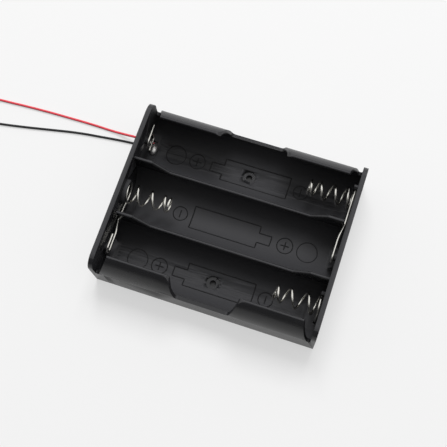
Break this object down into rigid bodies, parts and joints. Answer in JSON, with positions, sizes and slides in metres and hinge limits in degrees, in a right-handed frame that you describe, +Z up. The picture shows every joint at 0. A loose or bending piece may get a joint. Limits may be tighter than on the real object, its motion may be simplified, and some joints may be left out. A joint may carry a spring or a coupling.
{
  "type": "cylindrical cell holder",
  "caption": "Open black tray that holds cylindrical cells side by side in series, with wire spring contacts, side finger notches, screw holes and red and black leads.",
  "frame": {"origin": "middle of the tray's underside, on the surface that it stands on", "axes": "+X along the cells, away from the end wall that the leads leave, +Y across the bays, +Z up out of the open side"},
  "size_m": [0.1527, 0.0641, 0.0197],
  "materials": {
    "tray_plastic": "moulded black plastic with a soft gloss",
    "spring_wire": "nickel-plated spring wire",
    "solder": "bright solder",
    "tinned_end": "tinned strands",
    "red_insulation": "soft satin insulation",
    "black_insulation": "soft satin insulation"
  },
  "bodies": {
    "tray": {"tray": "tray_plastic", "positive_contact": "spring_wire", "positive_solder_joint": "solder", "negative_solder_joint": "solder", "red_lead_run": "red_insulation", "black_lead_run": "black_insulation", "red_lead": "red_insulation", "black_lead": "black_insulation", "red_lead_coil": "red_insulation", "black_lead_coil": "black_insulation", "red_lead_tip": "tinned_end", "black_lead_tip": "tinned_end"},
    "right_link_spring": {"right_link_spring": "spring_wire"},
    "left_link_spring": {"left_link_spring": "spring_wire"},
    "negative_spring": {"negative_spring": "spring_wire"}
  },
  "joints": [
    {"name": "right_link_spring_press", "type": "slide", "parent": "tray", "child": "right_link_spring", "axis": [1, 0, 0], "range_m": [0, 0.01], "stiffness_N_per_m": 500, "deforming": ["right_link_spring"]},
    {"name": "left_link_spring_press", "type": "slide", "parent": "tray", "child": "left_link_spring", "axis": [-1, 0, 0], "range_m": [0, 0.01], "stiffness_N_per_m": 500, "deforming": ["left_link_spring"]},
    {"name": "negative_spring_press", "type": "slide", "parent": "tray", "child": "negative_spring", "axis": [1, 0, 0], "range_m": [0, 0.01], "stiffness_N_per_m": 500, "deforming": ["negative_spring"]}
  ]
}
